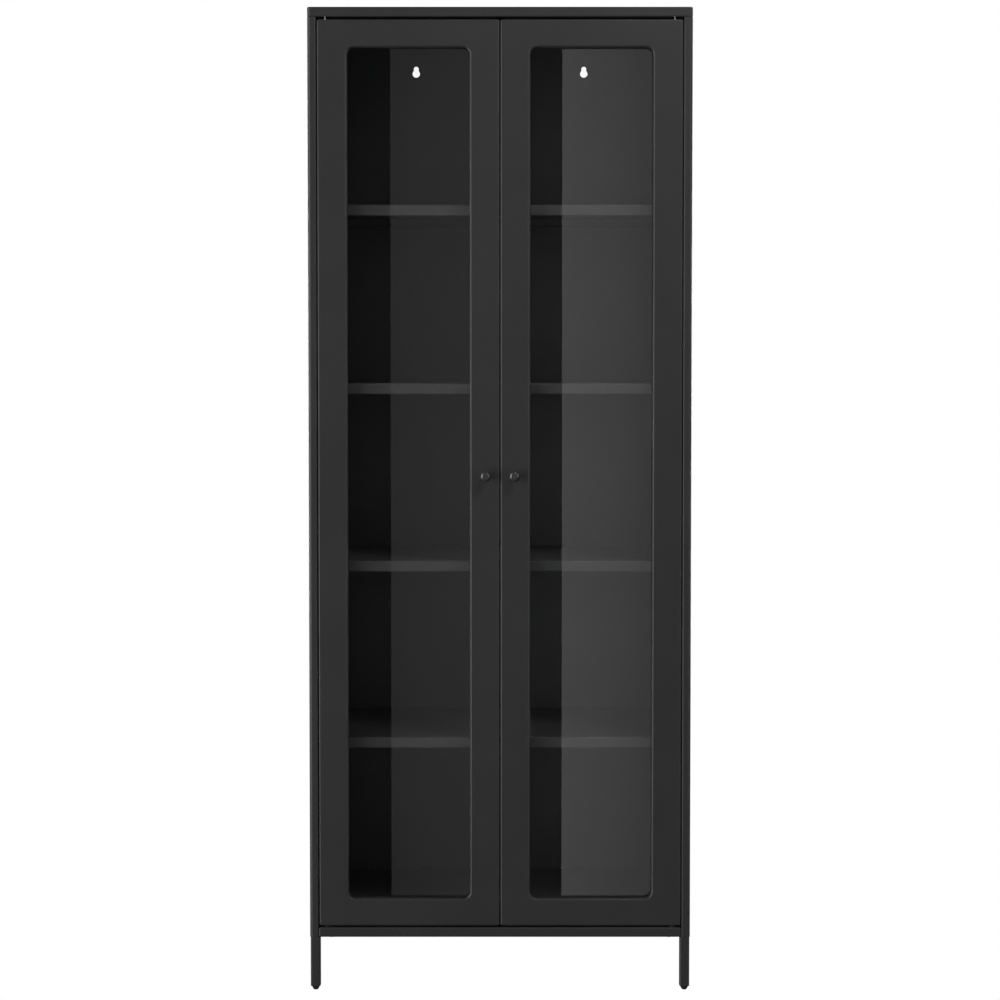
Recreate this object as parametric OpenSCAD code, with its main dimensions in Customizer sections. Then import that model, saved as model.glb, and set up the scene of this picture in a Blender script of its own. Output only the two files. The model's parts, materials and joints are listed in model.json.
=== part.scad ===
// Tall display case: a folded steel body on four short legs, two glazed doors that turn on
// pivot pins, and four adjustable shelves. Millimetres, +Z up, the front faces -Y, and the
// origin is on the floor under the middle of the object's box.

/* [Case] */
// Overall width of the body
case_w = 700; // [640:10:800]
// Depth of the body without the knobs
case_d = 400; // [360:10:450]
// Overall height with legs and feet
case_h = 1800; // [1750:10:1900]
// Height of the body's underside above the floor
leg_h = 99; // [80:1:120]
// Thickness of the folded steel sheet
sheet = 1; // [0.8:0.1:1.2]
// Outer radius of the visible bends
bend_r = 2.5; // [2:0.1:2.8]
// Outer radius of the body's upright corners
post_bend_r = 6; // [4:0.5:6]
// Height of the top panel
top_h = 18; // [18:1:24]
// Height of the rail under the doors
rail_h = 18; // [16:1:24]
// Height of the interior floor above the rail
riser_h = 20; // [16:1:24]
// Width of the side posts seen from the front
post_w = 16; // [16:1:20]

/* [Doors] */
// Depth of a door's folded panel
door_d = 18; // [18:1:20]
// Outer radius of the bends round a door's edges
door_bend_r = 3.5; // [2.5:0.5:3.5]
// Width of a door's stiles beside the glass
stile_w = 54.5; // [50:0.5:60]
// Height of a door's rails above and below the glass
door_rail_h = 50.5; // [46:0.5:60]
// Corner radius of the window
window_r = 13; // [10:1:16]
// Outer radius of the bend round the window
window_bend_r = 4; // [2.5:0.5:5]
// Depth of the flange folded in around the window
collar_d = 13; // [12:1:13]
// Thickness of the glass
glass_t = 4; // [3:0.5:4]
// Gap between a door and its post
side_gap = 1.2; // [1:0.2:2]
// Gap between the two doors
centre_gap = 1.2; // [1:0.2:2]
// Gap above the doors
top_gap = 4; // [4:0.5:5]
// Gap below the doors
bottom_gap = 2.5; // [2:0.5:4]

/* [Shelves] */
// Height of a shelf's front lip
shelf_h = 20; // [16:1:24]
// Height from one shelf to the next
shelf_pitch = 327; // [310:1:327]

/* [Knobs] */
// Diameter of a knob
knob_dia = 20.5; // [18:0.5:24]
// How far a knob stands out from the body's front
knob_l = 22; // [18:1:26]
// Height of the knobs' centres
knob_z = 949; // [850:1:1050]

/* [Hidden] */
$fn = 48;

coat = "#2f2f30";
zinc = "#c9ccd0";
plastic = "#1b1b1c";

half_sheet = sheet / 2;
fit_gap = 0.1;     // between pieces of one body that slide together on assembly
run_gap = 0.06;    // radial clearance of a turning or sliding pin
skin_gap = 0.2;    // between pieces of two bodies that meet face to face
corner_r = bend_r + 0.5;
door_corner_r = door_bend_r + 0.5;

// Fasteners: radii of shank, clearance hole and head
screw_r = 2;
screw_hole_r = 2.2;
screw_head_r = 3.6;
screw_head_h = 2;
screw_l = 8;
screw_inset = 10;
small_screw_r = 1.4;
small_hole_r = 1.6;
small_head_r = 2.6;
small_head_h = 1.4;

// Main planes of the body
body_x = case_w / 2;
overall_d = knob_l + case_d + screw_head_h;
front_y = knob_l - overall_d / 2;
back_y = front_y + case_d;
mid_y = (front_y + back_y) / 2;
rail_z = leg_h + rail_h;
floor_z = rail_z + riser_h;
ceiling_z = case_h - top_h;

// Side panels
post_d = 16;
rear_flange_w = 18;
notch_h = 12;
screw_x = body_x - screw_inset;
end_screw_front_y = front_y + 105;
end_screw_back_y = back_y - 95;
end_screw_ys = [end_screw_front_y, (end_screw_front_y + end_screw_back_y) / 2, end_screw_back_y];

// Back panel and its keyholes
back_panel_y = back_y - 2 * sheet;
keyhole_r = 7.5;
keyhole_neck_r = 5;
keyhole_rise = 9.5;
keyhole_drop = 68.5;
keyhole_z = case_h - keyhole_drop;
back_screw_rows = 5;
back_screw_end = 25;
back_screw_pitch = (ceiling_z - floor_z - 2 * back_screw_end) / (back_screw_rows - 1);
back_screw_zs = [for (i = [0 : back_screw_rows - 1]) floor_z + back_screw_end + i * back_screw_pitch];

// Doors
door_w = (case_w - 2 * post_w - 2 * side_gap - centre_gap) / 2;
door_bottom = rail_z + bottom_gap;
door_top = ceiling_z - top_gap;
door_h = door_top - door_bottom;
door_x = -(centre_gap + door_w) / 2;
door_mid_z = (door_bottom + door_top) / 2;
door_y = front_y + 1;
window_w = door_w - 2 * stile_w;
window_h = door_h - 2 * door_rail_h;
door_hem = 14;
hem_r = 4;
frame_t = 1.2;
frame_inset = 6;
frame_corner_r = 3;
frame_screw_rows = 5;
frame_screw_inset = 10;
frame_screw_end = 60;
frame_screw_l = 6;
glass_lap = 8;
gasket_w = 4;
gasket_t = 1;
gasket_lip = 4;
gasket_grip = 0.05;
glass_y = door_y + door_d - glass_t;
frame_y = door_y + door_d;
frame_back_y = frame_y + frame_t;

// Hinge line: both pins of a door stand on it
bush_r = 3.4;
pin_inset = 15.3;
pin_set_back = door_bend_r + bush_r + fit_gap;
pin_x = body_x - post_w - side_gap - pin_inset;
pin_y = door_y + pin_set_back;
pivot_r = 2.5;
pivot_l = 10;
rivet_r = 4.5;
rivet_h = 3;
washer_r = 5;
washer_h = 1;
pin_r = 2;
pin_l = 46;
pin_lift = 5;
pin_point = 1;
pin_point_r = 1.4;
pin_travel = 6;
collar_r = 3.4;
collar_h = 1.5;
bush_press = 0.02;  // radial room of a bush in its hole
bush_flange_r = 4.4;
bush_flange_h = 6;
bottom_flange_r = 3.4;
bracket_drop = 5;
bracket_top_z = door_top - bracket_drop;
bracket_h = 24;
bracket_w = 14;
bracket_d = 11;
bracket_t = 1.2;
spring_z = bracket_top_z - bracket_h + bracket_t;
spring_h = bracket_h - 2 * bracket_t - collar_h;
spring_r = 2.9;
spring_wire_r = 0.35;
spring_turns = 7;
lever_r = 1.4;
lever_l = 17;
lever_rise = 3;
lever_z = ceiling_z + pin_lift - pin_l + lever_rise;
lever_slot_w = 4;

// Catches
catch_w = 44;
catch_body_w = 28;
catch_h = 26;
catch_d = 14;
catch_x = 30;
catch_ear_t = 3;
catch_screw_reach = 18;
catch_screw_xs = [catch_x - catch_screw_reach, catch_x + catch_screw_reach];
catch_screw_l = 7;
pole_out = 0.5;
pole_inset = 2;
pole_t = 2;
pole_zs = [3, 10];
strike_w = 34;
strike_h = 14;
strike_t = 1;
strike_drop = 1;
strike_z = door_top - frame_inset - strike_h - strike_drop;
catch_y = frame_back_y + strike_t + skin_gap;
catch_screw_y = catch_y + catch_d / 2;
top_hem = 16;
catch_margin = 3;
top_front_hem = catch_y + catch_d + catch_margin - front_y;

// Floor tray, shelves and uprights
inner_x = body_x - sheet;
rail_gap = 0.6;
rail_return = 24;
tray_front_y = front_y + 30;
tray_back_y = back_panel_y - fit_gap;
tray_hem = 16;
upright_w = 24;
upright_t = 6;
upright_bend_r = 2;
upright_bottom = floor_z + 1;
upright_top = ceiling_z - sheet - 8;
front_upright_y = front_y + 62;
rear_upright_y = back_y - 60;
slot_pitch = shelf_pitch / 12;
first_slot = 2;
last_slot = floor((upright_top - upright_bottom) / slot_pitch) - 1;
slot_w = 3;
slot_h = 12;
slot_drop = 14;    // from a shelf's lower edge down to the slots' lower edges
shelf_x = inner_x - upright_t - 2;
shelf_front_y = front_y + 32;
shelf_back_y = back_panel_y - 6;
shelf_hem = 12;
clip_t = 1.5;
clip_w = 14;
clip_h = 24;
clip_reach = 12;
clip_nose = 3;
hook_w = 2.4;
hook_t = 3;
hook_drop = 4;

// Legs and feet
leg_w = 18;
leg_t = 1.5;
leg_edge_r = 3.5;
leg_bore_r = 2;
leg_cap_t = 3;
leg_inset = 1;
leg_x = body_x - leg_inset - leg_w / 2;
leg_front_y = front_y + leg_inset + leg_w / 2;
leg_rear_y = back_y - leg_inset - leg_w / 2;
foot_h = 9.5;
foot_ring_h = 2;
foot_neck_r = 8.4;
foot_tip_r = 4.8;
foot_chamfer = 0.8;
plug_l = 14;
plug_wall = 2.5;
plug_floor = 3;
stud_r = 3;
stud_l = 9;
nut_w = 9.8;
nut_h = 5;

// Knobs
knob_x = -26.4;
knob_neck_r = 6;
knob_head_l = 8;
knob_edge_r = 2.6;
knob_core_l = 13;
knob_screw_r = 2;
knob_screw_l = 12;
knob_access_r = 5;
thread_gap = 0.05;

function unit(v) = v / norm(v);

// Rectangle between two opposite corners
module rect(a, b) {
    translate([min(a.x, b.x), min(a.y, b.y)]) square([abs(b.x - a.x), abs(b.y - a.y)]);
}

// Rectangle between two opposite corners, with rounded corners
module round_rect(a, b, r) {
    rect(a + [r, 0], b - [r, 0]);
    rect(a + [0, r], b - [0, r]);
    for (x = [a.x + r, b.x - r], y = [a.y + r, b.y - r])
        translate([x, y]) circle(r = r);
}

// Section of a folded sheet: the path runs along the middle of the sheet and turns square corners,
// each with its own outer radius
module fold(path, radii) {
    last = len(path) - 1;
    mid_radii = [0, for (r = radii) r - half_sheet, 0];
    for (i = [0 : last - 1]) {
        along = unit(path[i + 1] - path[i]);
        start = path[i] + mid_radii[i] * along;
        end = path[i + 1] - mid_radii[i + 1] * along;
        across = half_sheet * [along.y, -along.x];
        rect(start - across, end + across);
    }
    for (i = [1 : last - 1]) {
        into = unit(path[i] - path[i - 1]);
        out = unit(path[i + 1] - path[i]);
        r = radii[i - 1];
        translate(path[i] + mid_radii[i] * (out - into)) intersection() {
            difference() {
                circle(r = r);
                circle(r = r - sheet);
            }
            rect([0, 0], r * (into - out));
        }
    }
}

// Sweeps a section round a rounded rectangle; its x runs outward from the corner arcs' centres
module round_frame(w, h, r) {
    for (side = [0 : 3]) {
        along = side % 2 == 0 ? h : w;
        across = side % 2 == 0 ? w : h;
        rotate([0, 0, 90 * side]) {
            translate([across / 2 - r, 0, 0])
                rotate([90, 0, 0]) linear_extrude(along - 2 * r, center = true) children();
            translate([across / 2 - r, along / 2 - r, 0]) rotate_extrude(angle = 90) children();
        }
    }
}

// Edge section of a slab: both outer corners are rounded
module rim(reach, depth, r) {
    intersection() {
        square([reach, depth]);
        union() {
            square([reach - r, depth]);
            translate([0, r]) square([reach, depth - 2 * r]);
            for (y = [r, depth - r]) translate([reach - r, y]) circle(r = r);
        }
    }
}

// Slab on z = 0 with rounded corners and rounded edges
module slab(w, h, depth, r_corner, r_edge) {
    translate([0, 0, depth / 2])
        cube([w - 2 * r_corner, h - 2 * r_corner, depth], center = true);
    round_frame(w, h, r_corner) rim(r_corner, depth, r_edge);
}

// Space inside and in front of a window flange, which flares out to the face at z = 0
module window_space(w, h, depth, r_corner, flare) {
    translate([0, 0, depth / 2])
        cube([w - 2 * r_corner, h - 2 * r_corner, depth], center = true);
    round_frame(w, h, r_corner) {
        square([r_corner, depth]);
        difference() {
            square([r_corner + flare, flare]);
            translate([r_corner + flare, flare]) circle(r = flare);
        }
    }
}

// Folded tray with a closed face at z = 0 and a hem turned in at z = depth
module tray(w, h, depth, hem_x, hem_front, hem_back, r_corner = corner_r) {
    difference() {
        slab(w, h, depth, r_corner, bend_r);
        translate([0, 0, sheet])
            slab(w - 2 * sheet, h - 2 * sheet, depth - 2 * sheet, r_corner - sheet, bend_r - sheet);
        translate([0, 0, depth - 2 * sheet])
            linear_extrude(3 * sheet)
                round_rect([hem_x - w / 2, hem_front - h / 2], [w / 2 - hem_x, h / 2 - hem_back], hem_r);
    }
}

// Turns a shape drawn face down in the XY plane so that its face looks to the front
module face_front() {
    mirror([0, 1, 0]) rotate([90, 0, 0]) children();
}

// Turns a shape drawn face down in the XY plane so that its face looks up
module face_up() {
    mirror([0, 0, 1]) children();
}

// Draws a left-hand piece, or mirrors it to the right-hand side
module on_side(side) {
    if (side > 0) mirror([1, 0, 0]) children();
    else children();
}

// Round-headed screw with a cross recess; the head stands on z = 0 and the shank runs down
module screw(shank_r, length, head_r, head_h) {
    rim_h = head_h / 2;
    crown_r = head_r * 0.7;
    recess_w = head_r * 0.3;
    recess_l = head_r * 1.1;
    recess_z = head_h * 0.4;
    translate([0, 0, -length]) cylinder(r = shank_r, h = length);
    difference() {
        union() {
            cylinder(r = head_r, h = rim_h);
            translate([0, 0, rim_h]) cylinder(r1 = head_r, r2 = crown_r, h = rim_h);
        }
        for (turn = [0, 90])
            rotate([0, 0, turn])
                translate([-recess_l / 2, -recess_w / 2, recess_z]) cube([recess_l, recess_w, head_h]);
    }
}

// ---- Body ----

module top_panel() {
    color(coat) difference() {
        translate([0, mid_y, case_h]) face_up()
            tray(case_w, case_d, top_h, top_hem, top_front_hem, top_hem, post_bend_r);
        for (side = [-1, 1]) {
            translate([side * pin_x, pin_y, ceiling_z - sheet]) cylinder(r = bush_r, h = 3 * sheet);
            for (y = end_screw_ys)
                translate([side * screw_x, y, ceiling_z - sheet])
                    cylinder(r = screw_r + fit_gap, h = 3 * sheet);
            for (x = catch_screw_xs)
                translate([side * x, catch_screw_y, ceiling_z - sheet])
                    cylinder(r = small_screw_r + fit_gap, h = 3 * sheet);
        }
    }
}

// Side panel: one sheet folded into the front post, the web and the rear flange, with flanges
// turned in at the top and bottom
module side_panel(side) {
    return_x = -body_x + post_w - half_sheet;
    flange_a = [-body_x + half_sheet, front_y + half_sheet];
    flange_b = [-body_x + post_w, back_y - half_sheet];
    color(coat) on_side(side) difference() {
        union() {
            translate([0, 0, leg_h]) linear_extrude(ceiling_z - leg_h) fold([
                [return_x, front_y + post_d],
                [return_x, front_y + half_sheet],
                [-body_x + half_sheet, front_y + half_sheet],
                [-body_x + half_sheet, back_y - half_sheet],
                [-body_x + rear_flange_w, back_y - half_sheet]
            ], [bend_r, post_bend_r, post_bend_r]);
            for (z = [leg_h, ceiling_z - sheet])
                translate([0, 0, z]) linear_extrude(sheet)
                    round_rect(flange_a, flange_b, post_bend_r - half_sheet);
        }
        // the post's inner leaf starts above the leg's nut
        translate([return_x - sheet, front_y + bend_r, leg_h + sheet]) cube([2 * sheet, post_d, notch_h]);
        for (y = [leg_front_y, leg_rear_y])
            translate([-leg_x, y, leg_h - sheet]) cylinder(r = stud_r + skin_gap, h = 3 * sheet);
        for (y = end_screw_ys, z = [leg_h - sheet, ceiling_z - 2 * sheet])
            translate([-screw_x, y, z]) cylinder(r = screw_hole_r, h = 3 * sheet);
        for (z = back_screw_zs)
            translate([-screw_x, back_y - 2 * sheet, z])
                rotate([-90, 0, 0]) cylinder(r = screw_hole_r, h = 3 * sheet);
    }
}

module keyhole_outline() {
    circle(r = keyhole_r);
    translate([0, keyhole_rise]) circle(r = keyhole_neck_r);
    translate([-keyhole_neck_r, 0]) square([2 * keyhole_neck_r, keyhole_rise]);
}

module back_panel() {
    half_w = inner_x - (post_bend_r - sheet) - fit_gap;
    color(coat) difference() {
        translate([-half_w, back_panel_y, leg_h + sheet + fit_gap])
            cube([2 * half_w, sheet, ceiling_z - leg_h - 2 * sheet - 2 * fit_gap]);
        for (side = [-1, 1]) {
            translate([side * door_x, back_panel_y + 2 * sheet, keyhole_z])
                rotate([90, 0, 0]) linear_extrude(3 * sheet) keyhole_outline();
            for (z = back_screw_zs)
                translate([side * screw_x, back_panel_y - sheet, z])
                    rotate([-90, 0, 0]) cylinder(r = screw_r + fit_gap, h = 3 * sheet);
        }
    }
}

// Floor of the case: a tray that is open below
module bottom_panel() {
    depth = floor_z - leg_h - sheet;
    color(coat) difference() {
        translate([0, (tray_front_y + tray_back_y) / 2, floor_z]) face_up()
            tray(2 * (inner_x - fit_gap), tray_back_y - tray_front_y, depth,
                tray_hem, tray_hem, tray_hem, post_bend_r);
        for (side = [-1, 1]) {
            translate([side * leg_x, leg_rear_y, leg_h + 1.5 * sheet])
                cube([leg_w + 2, leg_w - 3, 2 * sheet], center = true);
            for (y = end_screw_ys)
                translate([side * screw_x, y, leg_h]) cylinder(r = screw_r + fit_gap, h = 3 * sheet);
        }
    }
}

// Rail under the doors: a folded face with all four edges turned back, and the ledge at its top
// that carries the pivots
module bottom_rail() {
    rail_w = 2 * (body_x - post_w - rail_gap);
    ledge_back = tray_front_y - front_y - rail_return;
    color(coat) difference() {
        union() {
            translate([0, front_y, leg_h + rail_h / 2]) face_front() difference() {
                slab(rail_w, rail_h, 2 * rail_return, corner_r, bend_r);
                translate([0, 0, sheet]) slab(
                    rail_w - 2 * sheet, rail_h - 2 * sheet, 2 * rail_return,
                    corner_r - sheet, bend_r - sheet);
                translate([0, 0, rail_return]) linear_extrude(2 * rail_return)
                    square([rail_w + sheet, rail_h + sheet], center = true);
            }
            translate([-rail_w / 2, front_y + rail_return, rail_z - sheet])
                cube([rail_w, ledge_back, sheet]);
        }
        for (side = [-1, 1])
            translate([side * pin_x, pin_y, rail_z - 2 * sheet])
                cylinder(r = pivot_r + fit_gap, h = 3 * sheet);
    }
}

// Slotted channel on the side panel that the shelf clips hook into
module upright(side, y) {
    wall_x = -inner_x;
    color(coat) on_side(side) difference() {
        translate([0, 0, upright_bottom]) linear_extrude(upright_top - upright_bottom) fold([
            [wall_x, y - upright_w / 2 + half_sheet],
            [wall_x + upright_t - half_sheet, y - upright_w / 2 + half_sheet],
            [wall_x + upright_t - half_sheet, y + upright_w / 2 - half_sheet],
            [wall_x, y + upright_w / 2 - half_sheet]
        ], [upright_bend_r, upright_bend_r]);
        for (i = [first_slot : last_slot])
            translate([wall_x + upright_t - 2 * sheet, y - slot_w / 2, slot_bottom(i)])
                cube([3 * sheet, slot_w, slot_h]);
    }
}

function slot_bottom(i) = floor_z + i * slot_pitch - shelf_h - slot_drop;

function shelf_top(n) = floor_z + n * shelf_pitch;

// Shelf: a tray that is open below, carried on four clips
module shelf(n) {
    color(coat) translate([0, (shelf_front_y + shelf_back_y) / 2, shelf_top(n)]) face_up()
        tray(2 * shelf_x, shelf_back_y - shelf_front_y, shelf_h, shelf_hem, shelf_hem, shelf_hem);
}

// Clip: a plate on the upright's face, a tab under the shelf with blunted corners, and a hook that
// goes down behind a slot
module shelf_clip() {
    face_x = -inner_x + upright_t;
    nose_x = face_x + clip_reach - clip_nose;
    difference() {
        union() {
            translate([face_x, -clip_w / 2, clip_t - clip_h]) cube([clip_t, clip_w, clip_h - clip_t]);
            translate([face_x, -clip_w / 2, 0]) cube([clip_reach, clip_w, clip_t]);
        }
        for (end = [-1, 1])
            translate([nose_x, end * clip_w / 2, clip_t / 2]) rotate([0, 0, -45 * end])
                translate([0, end * clip_nose, 0])
                    cube([4 * clip_nose, 2 * clip_nose, 2 * clip_t], center = true);
    }
    translate([face_x - sheet - clip_t, -hook_w / 2, clip_t - slot_drop]) {
        cube([sheet + clip_t + fit_gap, hook_w, hook_t]);
        translate([0, 0, -hook_drop]) cube([clip_t - fit_gap, hook_w, hook_drop + hook_t]);
    }
}

module shelf_clips(n) {
    color(zinc) for (side = [-1, 1], y = [front_upright_y, rear_upright_y])
        on_side(side) translate([0, y, shelf_top(n) - shelf_h - clip_t]) shelf_clip();
}

// ---- Legs ----

module square_section(w, r) {
    round_rect([-w / 2, -w / 2], [w / 2, w / 2], r);
}

// Leg: square tube with a welded cap and stud
module leg(side, y) {
    color(coat) translate([side * leg_x, y, 0]) {
        difference() {
            translate([0, 0, foot_h]) linear_extrude(leg_h - foot_h) square_section(leg_w, leg_edge_r);
            translate([0, 0, foot_h - leg_cap_t]) linear_extrude(leg_h - foot_h)
                square_section(leg_w - 2 * leg_t, leg_bore_r);
        }
        translate([0, 0, leg_h - leg_cap_t]) cylinder(r = stud_r, h = leg_cap_t + stud_l);
    }
}

// Foot: plastic plug with a ring under the tube and a tapered tip
module foot(side, y) {
    plug_w = leg_w - 2 * leg_t - 2 * fit_gap;
    ring_z = foot_h - foot_ring_h;
    color(plastic) translate([side * leg_x, y, 0]) {
        difference() {
            translate([0, 0, ring_z]) linear_extrude(foot_ring_h + plug_l) square_section(plug_w, leg_bore_r);
            translate([0, 0, foot_h + plug_floor]) cylinder(r = plug_w / 2 - plug_wall, h = plug_l);
        }
        translate([0, 0, ring_z]) linear_extrude(foot_ring_h) square_section(leg_w, leg_edge_r);
        translate([0, 0, foot_chamfer])
            cylinder(r1 = foot_tip_r, r2 = foot_neck_r, h = ring_z - foot_chamfer);
        cylinder(r1 = foot_tip_r - foot_chamfer, r2 = foot_tip_r, h = foot_chamfer);
    }
}

module leg_nuts() {
    color(zinc) for (side = [-1, 1], y = [leg_front_y, leg_rear_y])
        translate([side * leg_x, y, leg_h + sheet]) difference() {
            rotate([0, 0, 30]) cylinder(r = nut_w / sqrt(3), h = nut_h, $fn = 6);
            translate([0, 0, -1]) cylinder(r = stud_r + thread_gap, h = nut_h + 2);
        }
}

// ---- Fasteners of the body ----

module top_panel_screws() {
    color(zinc) for (side = [-1, 1], y = end_screw_ys)
        translate([side * screw_x, y, ceiling_z - sheet]) mirror([0, 0, 1])
            screw(screw_r, screw_l, screw_head_r, screw_head_h);
}

module bottom_panel_screws() {
    color(zinc) for (side = [-1, 1], y = end_screw_ys)
        translate([side * screw_x, y, leg_h]) mirror([0, 0, 1])
            screw(screw_r, screw_l, screw_head_r, screw_head_h);
}

module back_panel_screws() {
    color(zinc) for (side = [-1, 1], z = back_screw_zs)
        translate([side * screw_x, back_y, z]) rotate([-90, 0, 0])
            screw(screw_r, screw_l, screw_head_r, screw_head_h);
}

// ---- Catches ----

// Magnet catch: plastic housing with ears, and two pole plates at its front
module magnet_catch(side) {
    color(plastic) on_side(side) translate([-catch_x, catch_y, 0]) difference() {
        union() {
            translate([-catch_body_w / 2, pole_out, ceiling_z - catch_h])
                cube([catch_body_w, catch_d - pole_out, catch_h]);
            translate([-catch_w / 2, pole_inset, ceiling_z - catch_ear_t])
                cube([catch_w, catch_d - 2 * pole_inset, catch_ear_t]);
            for (z = pole_zs)
                translate([pole_inset - catch_body_w / 2, 0, ceiling_z - catch_h + z])
                    cube([catch_body_w - 2 * pole_inset, catch_d - pole_inset, pole_t]);
        }
        for (x = [-catch_screw_reach, catch_screw_reach])
            translate([x, catch_d / 2, ceiling_z - 2 * catch_ear_t])
                cylinder(r = small_hole_r, h = 3 * catch_ear_t);
    }
}

module magnet_catch_screws() {
    color(zinc) for (side = [-1, 1], x = catch_screw_xs)
        translate([side * x, catch_screw_y, ceiling_z - catch_ear_t]) mirror([0, 0, 1])
            screw(small_screw_r, catch_screw_l, small_head_r, small_head_h);
}

module strike_plate(side) {
    color(zinc) on_side(side) translate([-catch_x - strike_w / 2, frame_back_y, strike_z])
        cube([strike_w, strike_t, strike_h]);
}

// ---- Hinge line ----

// Pivot: a pin riveted into the ledge, with a washer that carries the door
module bottom_pivot(side) {
    color(plastic) translate([side * pin_x, pin_y, 0]) {
        translate([0, 0, rail_z - sheet - rivet_h]) {
            cylinder(r = pivot_r, h = rivet_h + sheet + pivot_l);
            cylinder(r = rivet_r, h = rivet_h);
        }
        translate([0, 0, rail_z]) cylinder(r = washer_r, h = washer_h);
    }
}

// Bush in the door's bottom edge, open below for the pivot
module bottom_bush(side) {
    seat_z = rail_z + washer_h + skin_gap;
    color(plastic) translate([side * pin_x, pin_y, 0]) difference() {
        union() {
            translate([0, 0, seat_z]) cylinder(r = bottom_flange_r, h = door_bottom - seat_z);
            translate([0, 0, door_bottom]) cylinder(r = bush_r, h = pivot_l);
        }
        translate([0, 0, rail_z]) cylinder(r = pivot_r + run_gap, h = pivot_l + 1);
    }
}

// Bush in the top panel's front hem
module top_bush(side) {
    color(plastic) translate([side * pin_x, pin_y, 0]) difference() {
        union() {
            translate([0, 0, ceiling_z]) cylinder(r = bush_r - bush_press, h = sheet);
            translate([0, 0, ceiling_z + sheet]) cylinder(r = bush_flange_r, h = bush_flange_h);
        }
        translate([0, 0, ceiling_z - sheet]) cylinder(r = pin_r + run_gap, h = bush_flange_h + 3 * sheet);
    }
}

// Pin that slides up into the top bush, with a collar for its spring and a lever to draw it down
module top_pin(side) {
    tip_z = ceiling_z + pin_lift;
    color(zinc) translate([side * pin_x, pin_y, 0]) {
        translate([0, 0, tip_z - pin_l]) cylinder(r = pin_r, h = pin_l - pin_point);
        translate([0, 0, tip_z - pin_point]) cylinder(r1 = pin_r, r2 = pin_point_r, h = pin_point);
        translate([0, 0, bracket_top_z - bracket_t - collar_h]) cylinder(r = collar_r, h = collar_h);
        translate([0, 0, lever_z]) rotate([-90, 0, 0]) cylinder(r = lever_r, h = lever_l);
    }
}

// Bracket with two leaves that guide the pin, on the inside of the door's face
module pin_bracket(side) {
    bottom_z = bracket_top_z - bracket_h;
    face_y = door_y + sheet;
    color(coat) on_side(side) difference() {
        union() {
            translate([-pin_x - bracket_w / 2, face_y, bottom_z]) cube([bracket_w, bracket_t, bracket_h]);
            for (z = [bottom_z, bracket_top_z - bracket_t])
                translate([-pin_x - bracket_w / 2, face_y, z]) cube([bracket_w, bracket_d, bracket_t]);
        }
        translate([-pin_x, pin_y, bottom_z - 1]) cylinder(r = pin_r + run_gap, h = bracket_h + 2);
    }
}

// Points of a wire with an eight-sided section, wound in a helix
function coil_points(r, wire_r, height, turns, steps, sides) = [
    for (i = [0 : turns * steps], k = [0 : sides - 1])
        let (turn = 360 * i / steps, tilt = 360 * k / sides, reach = r + wire_r * cos(tilt))
            [reach * cos(turn), reach * sin(turn), height * i / (turns * steps) + wire_r * sin(tilt)]
];

module coil(r, wire_r, height, turns, steps = 20, sides = 8) {
    rings = turns * steps;
    polyhedron(
        points = coil_points(r, wire_r, height, turns, steps, sides),
        faces = concat(
            [[for (k = [0 : sides - 1]) k]],
            [for (i = [0 : rings - 1], k = [0 : sides - 1])
                let (a = i * sides, b = a + sides, next = (k + 1) % sides)
                    [a + k, b + k, b + next, a + next]],
            [[for (k = [sides - 1 : -1 : 0]) rings * sides + k]]
        )
    );
}

// Spring under the pin's collar, standing on the bracket's lower leaf
module pin_spring(side) {
    color(zinc) translate([side * pin_x, pin_y, spring_z + spring_wire_r])
        coil(spring_r, spring_wire_r, spring_h - 2 * spring_wire_r, spring_turns);
}

// ---- Doors ----

// Folded panel of a door, with a flange turned in round the window and a hem round the back
module door_panel(side) {
    color(coat) on_side(side) difference() {
        translate([door_x, door_y, door_mid_z]) face_front() difference() {
            slab(door_w, door_h, door_d, door_corner_r, door_bend_r);
            difference() {
                translate([0, 0, sheet]) slab(
                    door_w - 2 * sheet, door_h - 2 * sheet, door_d - 2 * sheet,
                    door_corner_r - sheet, door_bend_r - sheet);
                translate([0, 0, sheet]) window_space(
                    window_w + 2 * sheet, window_h + 2 * sheet, collar_d - sheet,
                    window_r + sheet, window_bend_r - sheet);
            }
            window_space(window_w, window_h, collar_d + 1, window_r, window_bend_r);
            translate([0, 0, door_d - 2 * sheet]) linear_extrude(3 * sheet) round_rect(
                [door_hem - door_w / 2, door_hem - door_h / 2],
                [door_w / 2 - door_hem, door_h / 2 - door_hem], hem_r);
        }
        // holes for the bush, the pin, the pin's lever and the knob's screw
        translate([-pin_x, pin_y, door_bottom - sheet]) cylinder(r = bush_r + bush_press, h = 3 * sheet);
        translate([-pin_x, pin_y, door_top - 2 * sheet]) cylinder(r = pin_r + run_gap, h = 3 * sheet);
        translate([knob_x, door_y - 1, knob_z]) rotate([-90, 0, 0]) cylinder(r = screw_hole_r, h = 3);
        lever_slot(frame_y - 2 * sheet, 3 * sheet);
        for (at = frame_screw_places())
            translate([at.x, frame_y - 2 * sheet, at.y])
                rotate([-90, 0, 0]) cylinder(r = small_screw_r + fit_gap, h = 3 * sheet);
    }
}

// Slot that the pin's lever travels in
module lever_slot(y, depth) {
    low_z = lever_z - pin_travel - lever_slot_w / 2;
    translate([-pin_x - lever_slot_w / 2, y, low_z])
        cube([lever_slot_w, depth, pin_travel + lever_slot_w]);
}

// Places of the small screws in a door's retaining frame, as x and z
function frame_screw_places() = [
    let (reach = door_w / 2 - frame_screw_inset, run = door_h - 2 * frame_screw_end)
        for (x = [door_x - reach, door_x + reach], i = [0 : frame_screw_rows - 1])
            [x, door_bottom + frame_screw_end + i * run / (frame_screw_rows - 1)]
];

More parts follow.
